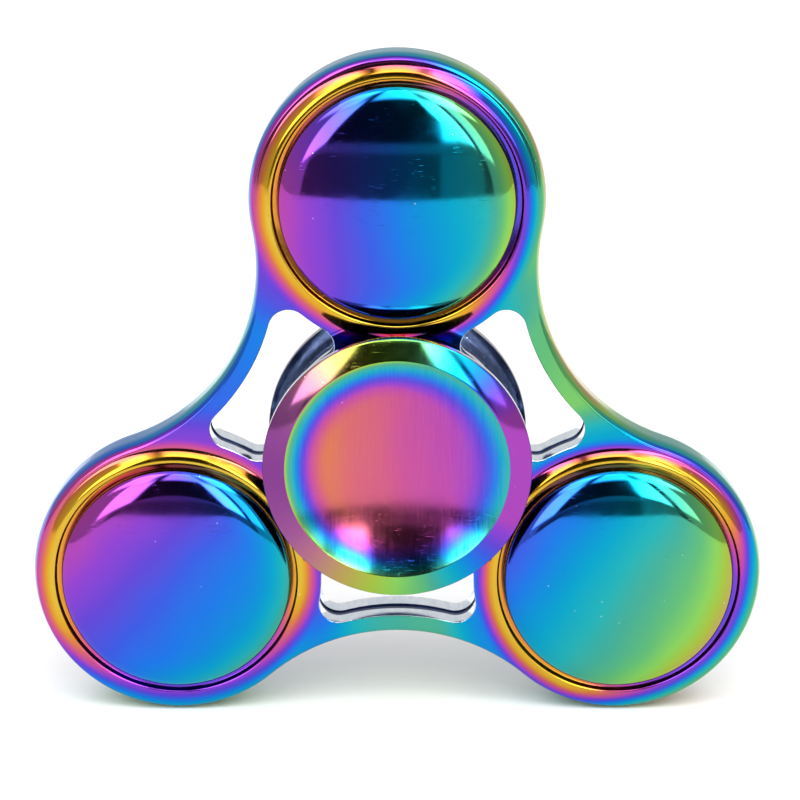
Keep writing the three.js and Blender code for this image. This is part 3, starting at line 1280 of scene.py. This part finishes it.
    def build(self) -> bpy.types.Object:
        """Draws every wall, fills both faces and dresses the body.

        Returns:
            The body.
        """
        bench = Bench("body_shell")
        self.sweep_outline(bench)
        for i, (cx, cz) in enumerate(ring_of_three(self.lobe_distance, 90.0)):
            self.sweep_window(bench, 30.0 + LOBE_STEP * i)
            bench.wire(self.recess_section(), lambda r, y, cx=cx, cz=cz: Vector((cx + r, y, cz)))
            bench.sweep((cx, cz), FULL_TURN, self.round_steps)
        bench.wire(self.collar_section(), lambda r, y: Vector((r, y, 0.0)))
        bench.sweep((0.0, 0.0), FULL_TURN, self.round_steps)
        bench.merge()
        bench.fill_level(-self.face_level)
        bench.fill_level(self.face_level)
        body = bench.finish(smooth_degrees=32.0)
        self.dress(body)
        settle(body, "spinner", "spinner_body", Slot.BODY)
        return body

    def dress(self, body: bpy.types.Object) -> None:
        """Film on faces, sides and recesses, thin silver film in the windows, dark navy painted shade in
        the parting-line groove.

        Args:
            body: The finished body.
        """
        film = BodyFilm().build(self.effects)
        window = SteelFinish("window_wall", (240, 246, 252), (206, 222, 240), 0.12, (1.0, 0.3, 1.0), 0.1)
        # Painted shade: dark navy for the parting-line groove at mid depth of the window walls, where
        # shade falls.
        parting = SteelFinish("window_parting", (40, 62, 110), (16, 26, 58), 0.2, (1.0, 0.3, 1.0), 0.2)
        for material in (film, window.build(self.effects), parting.build(self.effects)):
            body.data.materials.append(material)
        waists = ring_of_three(self.waist_center_distance(), 30.0)
        lobes = ring_of_three(self.lobe_distance, 90.0)
        for face in body.data.polygons:
            spot = (face.center.x / MM, face.center.z / MM)
            level = abs(face.center.y / MM)
            to_lobe = min(math.dist(spot, lobe) for lobe in lobes)
            to_waist = min(math.dist(spot, waist) for waist in waists)
            in_window = self.window_reach[0] < math.hypot(*spot) < self.window_reach[1]
            in_window = in_window and to_lobe > self.past_lobe and to_waist > self.past_waist
            if in_window and level < self.face_level - 0.01:
                # Window faces below the parting level take the painted groove shade, the rest the silver
                # film.
                face.material_index = 2 if level < self.parting_level else 1


@dataclass
class LobeCaps:
    """Six domed caps: one is turned, and the others are copies of it."""

    effects: Effects
    center: Spot = (0.0, LOBE_DISTANCE)
    radius: float = 11.75
    crown_sphere: float = 56.0
    crown_edge: tuple[float, float] = (9.4, 4.554)
    shoulder_drop: float = 0.85
    spigot_radius: float = 9.0
    spigot_end: float = 1.7
    seat: float = 2.57
    shoulder_steps: int = 14
    crown_rings: int = 16
    round_steps: int = 144
    turns: tuple[tuple[Lobe, float], ...] = ((Lobe.RIGHT, LOBE_STEP), (Lobe.LEFT, -LOBE_STEP))

    def shoulder_points(self) -> list[Corner]:
        """Section points of the shoulder, from the upright wall to the crown.

        Returns:
            Points without rounding.
        """
        reach, level = self.crown_edge
        slope = reach / math.sqrt(self.crown_sphere**2 - reach**2)
        points = []
        for step in range(self.shoulder_steps, 0, -1):
            turn = math.radians(90.0 * step / self.shoulder_steps)
            across = (self.radius - reach) * math.sin(turn)
            drop = across * slope + self.shoulder_drop * (1.0 - math.cos(turn))
            points.append((reach + across, level - drop, 0.0))
        return points

    def section(self) -> list[Corner]:
        """Half section from the spigot's middle to the crown's middle.

        Returns:
            The section.
        """
        return [
            (0.0, self.spigot_end, 0.0),
            (self.spigot_radius, self.spigot_end, 0.12),
            (self.spigot_radius, self.seat, 0.0),
            (self.radius, self.seat, 0.08),
            *self.shoulder_points(),
            (*self.crown_edge, 0.0),
            *sphere_arc(self.crown_sphere, self.crown_edge, self.crown_rings, hollow=False),
        ]

    def finishes(self) -> dict[Lobe, FilmFinish]:
        """Film of each lobe's caps, as (middle, across, down, rim).

        Returns:
            The finishes by lobe.
        """
        films = {
            Lobe.TOP: (7.45, 0.27, -0.02, 3.6),
            Lobe.LEFT: (6.6, 0.15, 0.14, 2.4),
            Lobe.RIGHT: (10.1, 0.27, 0.17, 1.6),
        }
        made = {}
        for lobe, film in films.items():
            center = polar(LOBE_DISTANCE, lobe.value)
            made[lobe] = FilmFinish(f"cap_film_{lobe.key}", center, *film, self.radius)
        return made

    def build(self) -> list[bpy.types.Object]:
        """Turns the top front cap and copies it to the other five seats.

        Returns:
            The six caps.
        """
        films = {lobe: finish.build(self.effects) for lobe, finish in self.finishes().items()}
        first = Turned(
            "top_front_dome", self.section(), self.center, Side.FRONT, self.round_steps).build()
        front = {Lobe.TOP: first}
        for lobe, turn in self.turns:
            front[lobe] = turned_copy(first, f"{lobe.key}_front_dome", turn, 0.0)
        swapped = {Lobe.TOP: Lobe.TOP, Lobe.LEFT: Lobe.RIGHT, Lobe.RIGHT: Lobe.LEFT}
        made = []
        for lobe in Lobe:
            rear = turned_copy(front[swapped[lobe]], f"{lobe.key}_rear_dome", 0.0, 180.0)
            for side, cap in ((Side.FRONT, front[lobe]), (Side.REAR, rear)):
                dress(cap, films[lobe])
                settle(cap, "spinner", f"{lobe.key}_{side.key}_cap", Slot.CAPS)
                made.append(cap)
        return made


@dataclass
class FingerPads:
    """Two dished finger pads, one turned and one copied, with film in front, pale steel on the rim's flank
    and dark navy painted shade on the underside.
    """

    effects: Effects
    rim_radius: float = 13.5
    rim_back: float = 5.9
    rim_front: float = 7.0
    ridge: tuple[float, float] = (11.34, 7.65)
    dish_edge: tuple[float, float] = (11.05, 7.55)
    dish_sphere: float = 33.0
    underside: tuple[float, float] = (12.4, 5.5)
    boss: tuple[float, float] = (5.6, 4.4)
    boss_foot: float = 3.52
    stem_radius: float = 3.95
    stem_end: float = 0.15
    hole_radius: float = 2.1
    hole_end: float = 4.0
    dish_rings: int = 18
    round_steps: int = 160
    film_slope: float = 0.3

    def section(self) -> list[Corner]:
        """Half section from the stud hole round the outside to the middle of the dish and back.

        Returns:
            The section.
        """
        return [
            (self.hole_radius, self.stem_end, 0.0),
            (self.stem_radius, self.stem_end, 0.2),
            (self.stem_radius, self.boss_foot, 0.0),
            (self.boss[0], self.boss_foot, 0.1),
            (*self.boss, 0.3),
            (*self.underside, 0.3),
            (self.rim_radius, self.rim_back, 0.2),
            (self.rim_radius, self.rim_front, 0.16),
            (*self.ridge, 0.1),
            (*self.dish_edge, 0.12),
            *sphere_arc(self.dish_sphere, self.dish_edge, self.dish_rings, hollow=True),
            (0.0, self.hole_end, 0.0),
            (self.hole_radius, self.hole_end, 0.0),
            (self.hole_radius, self.stem_end, 0.0),
        ]

    def build(self) -> list[bpy.types.Object]:
        """Turns the front pad, copies it to the rear and dresses both.

        Returns:
            The two pads.
        """
        film = PadFinish().build(self.effects)
        flank = SteelFinish("pad_flank", (206, 200, 204), (176, 170, 182), 0.14, relief=0.1)
        # Painted shade and painted dark reflection: the underside's dark navy stands in for the shaded gap
        # between pad and body.
        under = SteelFinish("pad_underside", (66, 78, 108), (24, 32, 56), 0.16, relief=0.1)
        steels = [flank.build(self.effects), under.build(self.effects)]
        front = Turned(
            "front_pad_dish", self.section(), side=Side.FRONT, steps=self.round_steps).build()
        rear = turned_copy(front, "rear_pad_dish", 0.0, 180.0)
        for pad, node in ((front, "front_finger_pad"), (rear, "rear_finger_pad")):
            dress(pad, film)
            for steel in steels:
                pad.data.materials.append(steel)
            for face in pad.data.polygons:
                # Faces that don't face outwards take the pale flank steel above the rim's back and the
                # dark navy painted shade below it.
                if face.normal.y * face.center.y > self.film_slope * abs(face.center.y):
                    continue
                face.material_index = 1 if abs(face.center.y / MM) > self.rim_back else 2
            settle(pad, "finger_pads", node, Slot.PADS)
        return [front, rear]


@dataclass
class HubBearing:
    """Ball bearing in the hub: fine rings and shields, CAD cage and balls."""

    effects: Effects
    outer_radius: float = 11.0
    half_width: float = 3.5
    seat_radius: float = 9.9
    seat_start: float = 2.75
    land_radius: float = 9.0
    pitch_radius: float = 7.5
    groove_radius: float = 2.06
    groove_steps: int = 8
    shield: tuple[float, float, float, float] = (6.3, 9.85, 2.85, 3.15)

    def outer_section(self) -> list[Corner]:
        """Outer ring from its chamfered outside round to the raceway.

        Returns:
            The closed section.
        """
        lean = math.acos((self.land_radius - self.pitch_radius) / self.groove_radius)
        groove = []
        for step in range(-self.groove_steps, self.groove_steps + 1):
            turn = lean * step / self.groove_steps
            across, along = self.groove_radius * math.cos(turn), self.groove_radius * math.sin(turn)
            groove.append((self.pitch_radius + across, along, 0.0))
        half = [
            (self.outer_radius, -self.half_width, 0.3),
            (self.seat_radius, -self.half_width, 0.1),
            (self.seat_radius, -self.seat_start, 0.0),
            (self.land_radius, -self.seat_start, 0.08),
        ]
        back = [(radius, -height, rounding) for radius, height, rounding in reversed(half)]
        outside = (self.outer_radius, 0.0, 0.0)
        return [outside, *half, *groove, *back, outside]

    def shield_section(self) -> list[Corner]:
        """Pressed shield with a rolled bead near its bore.

        Returns:
            The closed section.
        """
        inner, outer, back, front = self.shield
        return [
            (inner, back, 0.04),
            (outer, back, 0.05),
            (outer, front, 0.05),
            (outer - 0.7, front, 0.1),
            (outer - 0.9, front - 0.1, 0.1),
            (inner + 0.8, front - 0.1, 0.1),
            (inner + 0.6, front, 0.1),
            (inner, front, 0.04),
            (inner, back, 0.0),
        ]

    def build(self) -> list[bpy.types.Object]:
        """Turns the outer ring and the shields.

        Returns:
            The ring and the two shields.
        """
        turned = SteelFinish("bearing_steel_turned", (196, 200, 206), (150, 154, 162), 0.16)
        pressed = SteelFinish("shield_steel_pressed", (182, 186, 192), (120, 126, 134), 0.22)
        ring = Turned("bearing_race_ring", self.outer_section()).build()
        dress(ring, turned.build(self.effects))
        settle(ring, "spinner", "bearing_outer_ring", Slot.BEARING)
        front = Turned("front_bearing_disc", self.shield_section(), side=Side.FRONT).build()
        rear = turned_copy(front, "rear_bearing_disc", 0.0, 180.0)
        shield_steel = pressed.build(self.effects)
        for disc, node in ((front, "bearing_front_shield"), (rear, "bearing_rear_shield")):
            dress(disc, shield_steel)
            settle(disc, "spinner", node, Slot.SHIELD)
        return [ring, front, rear]


@dataclass
class CadSteels:
    """Steel finishes of the CAD nodes that keep their own meshes."""

    effects: Effects

    def finishes(self) -> dict[str, SteelFinish]:
        """Finish of each kept node, by the start of its name.

        Returns:
            The finishes.
        """
        return {
            "bearing_inner_ring": SteelFinish("inner_ring_steel", (200, 204, 210), (150, 154, 160), 0.15),
            "ball_cage": SteelFinish("cage_steel_pressed", (168, 168, 166), (118, 118, 118), 0.28),
            "ball_": SteelFinish("ball_steel_lapped", (222, 224, 228), (206, 208, 214), 0.05, relief=0.02),
            "pad_stud": SteelFinish("stud_steel_turned", (190, 192, 196), (140, 142, 148), 0.22),
            "counterweight": SteelFinish("weight_steel_sawn", (160, 162, 166), (112, 114, 120), 0.3),
        }

    def build(self) -> None:
        """Puts a finish on every CAD node that is still shown."""
        made = {key: finish.build(self.effects) for key, finish in self.finishes().items()}
        for name, node in sorted(frame["nodes"].items()):
            if node.hide_render:
                continue
            key = next(key for key in made if key in name)
            dress(node, made[key])
            LOG.info("%s keeps its CAD mesh with %s", name, made[key].name)


@dataclass
class Studio:
    """White sweep with an open front, the room round it, a soft light and the camera.

    The room is only seen as a reflection. Its windows, lamps and shelf are (low, high, strength),
    with the ends in degrees to the right of -Y. Its rises are in degrees over the horizon.
    """

    floor_front: float = -288.0
    floor_size: float = 3000.0
    target: tuple[float, float, float] = (0.27, 0.0, 5.08)
    distance: float = 271.0
    elevation: float = 17.0
    lens: float = 119.8
    windows: tuple[tuple[float, float, float], ...] = (
        (-34.0, -16.5, 6.0), (10.0, 19.5, 9.0), (23.5, 36.0, 4.0))
    lamps: tuple[tuple[float, float, float], ...] = (
        (-60.0, -21.0, 6.0), (-12.0, 12.0, 5.0), (20.0, 60.0, 7.0))
    shelf: tuple[float, float, float] = (9.5, 19.5, 0.3)
    skirting: tuple[float, float, float] = (-0.6, 1.6, 0.4)
    floor_light: Span = (-1.0, -0.2, 0.17, 0.03)
    window_foot: Span = (1.0, 3.5, 0.0, 1.0)
    window_head: Span = (26.0, 42.0, 1.0, 0.15)
    lamp_rise: tuple[float, float] = (34.0, 66.0)
    shelf_rise: tuple[float, float] = (-14.0, -0.8)
    wall_side: Span = (22.0, 26.0, 0.0, 0.9)
    wall_head: Span = (50.0, 80.0, 1.0, 0.4)
    backdrop: float = 1.1
    softbox_power: float = 3.5
    softbox_size: tuple[float, float] = (1.1, 0.8)

    def camera(self) -> None:
        """Places the camera in front of and a little above the spinner."""
        bpy.ops.object.select_all(action="DESELECT")
        tilt = math.radians(self.elevation)
        back = Vector((0.0, -math.cos(tilt), math.sin(tilt)))
        place = (Vector(self.target) + back * self.distance) * MM
        bpy.ops.object.camera_add(location=place, rotation=(math.pi / 2 - tilt, 0.0, 0.0))
        camera = bpy.context.object
        camera.name = "studio_camera"
        camera.data.lens = self.lens
        camera.data.sensor_width = 36.0
        camera.data.clip_start = 0.01
        camera.data.clip_end = 20.0
        bpy.context.scene.camera = camera

    def floor(self) -> None:
        """Lays the white floor that the lower lobes stand on."""
        level = CAD_BOX[0].z
        bpy.ops.object.select_all(action="DESELECT")
        bpy.ops.mesh.primitive_plane_add(size=self.floor_size * MM)
        sweep = bpy.context.object
        sweep.name = "studio_floor"
        middle = self.floor_front * MM + self.floor_size * MM / 2
        sweep.location = (0.0, middle, level)
        bpy.ops.object.transform_apply(location=True, rotation=False, scale=False)
        material = bpy.data.materials.new("studio_paper")
        material.use_nodes = True
        graph = Graph(material.node_tree)
        surface = graph.tree.nodes["Principled BSDF"]
        grain = graph.noise(graph.millimetres(), 0.4, 2.0)
        paper = graph.mix(grain, (0.79, 0.79, 0.79, 1.0), (0.82, 0.82, 0.82, 1.0))
        graph.feed(surface.inputs["Base Color"], paper)
        surface.inputs["Roughness"].default_value = 0.8
        surface.inputs["Specular IOR Level"].default_value = 0.1
        dress(sweep, material)

    def world(self) -> None:
        """Room by direction: bright walls at the sides and behind, windows and lamps in front.

        The camera itself sees a plain white backdrop.
        """
        world = bpy.data.worlds.new("studio_room")
        bpy.context.scene.world = world
        world.use_nodes = True
        graph = Graph(world.node_tree)
        graph.tree.nodes.clear()
        ray = graph.node("ShaderNodeTexCoord").outputs["Generated"]
        x, y, z = graph.split(ray)[0:3]
        rise = graph.math("MULTIPLY", graph.math("ARCSINE", z), 180.0 / math.pi)
        forward = graph.math("MULTIPLY", y, -1.0)
        aside = graph.math("MULTIPLY", graph.math("ARCTAN2", x, forward), 180.0 / math.pi)

        def panel(value: Link, low: float, high: float, soft: float) -> Socket:
            """One between two directions and zero outside them, with soft ends."""
            return graph.math("MULTIPLY", graph.remap(value, low - soft, low + soft, 0.0, 1.0),
                              graph.remap(value, high - soft, high + soft, 1.0, 0.0))

        def lit(light: Link, across: Link, upward: Link, strength: float) -> Socket:
            """The light with a patch added where both masks are one."""
            return graph.math("MULTIPLY_ADD", graph.math("MULTIPLY", across, upward), strength, light)

        light = graph.remap(rise, *self.floor_light)
        low, high, strength = self.skirting
        light = graph.math("MULTIPLY_ADD", panel(rise, low, high, 0.3), strength, light)
        low, high, strength = self.shelf
        light = lit(light, panel(aside, low, high, 0.5), panel(rise, *self.shelf_rise, 0.5), strength)
        upright = graph.math("MULTIPLY", graph.remap(rise, *self.window_foot),
                             graph.remap(rise, *self.window_head))
        for low, high, strength in self.windows:
            light = lit(light, panel(aside, low, high, 1.0), upright, strength)
        overhead = panel(rise, *self.lamp_rise, 5.0)
        for low, high, strength in self.lamps:
            light = lit(light, panel(aside, low, high, 2.5), overhead, strength)
        walls = graph.math("MULTIPLY", graph.remap(graph.math("ABSOLUTE", aside), *self.wall_side),
                           graph.remap(rise, *self.wall_head))
        light = graph.math("MAXIMUM", light, walls)
        reflected = graph.node("ShaderNodeBackground")
        graph.feed(reflected.inputs["Strength"], light)
        seen = graph.node("ShaderNodeBackground")
        seen.inputs["Color"].default_value = (1.0, 1.0, 1.0, 1.0)
        seen.inputs["Strength"].default_value = self.backdrop
        chooser = graph.node("ShaderNodeMixShader")
        graph.feed(chooser.inputs[0], graph.node("ShaderNodeLightPath").outputs["Is Camera Ray"])
        graph.tree.links.new(reflected.outputs[0], chooser.inputs[1])
        graph.tree.links.new(seen.outputs[0], chooser.inputs[2])
        graph.tree.links.new(chooser.outputs[0], graph.node("ShaderNodeOutputWorld").inputs["Surface"])

    def lights(self) -> None:
        """Hangs one broad soft light over the spinner."""
        bpy.ops.object.select_all(action="DESELECT")
        bpy.ops.object.light_add(type="AREA", location=(0.0, -0.12, 0.8), rotation=(math.radians(8), 0, 0))
        softbox = bpy.context.object
        softbox.name = "overhead_softbox"
        softbox.data.shape = "RECTANGLE"
        softbox.data.size, softbox.data.size_y = self.softbox_size
        softbox.data.energy = self.softbox_power

    def build(self) -> None:
        """Sets up the whole studio."""
        self.camera()
        self.floor()
        self.world()
        self.lights()
        bpy.context.scene.view_settings.view_transform = "Standard"
        bpy.context.scene.view_settings.look = "None"


def main() -> None:
    """Builds the sub-assemblies in order, then the studio."""
    logging.basicConfig(level=logging.INFO, format="%(name)s: %(message)s")
    effects = Effects.build()
    SpinnerBody(effects).build()
    LobeCaps(effects).build()
    FingerPads(effects).build()
    HubBearing(effects).build()
    CadSteels(effects).build()
    Studio().build()


if __name__ == "__main__":
    main()
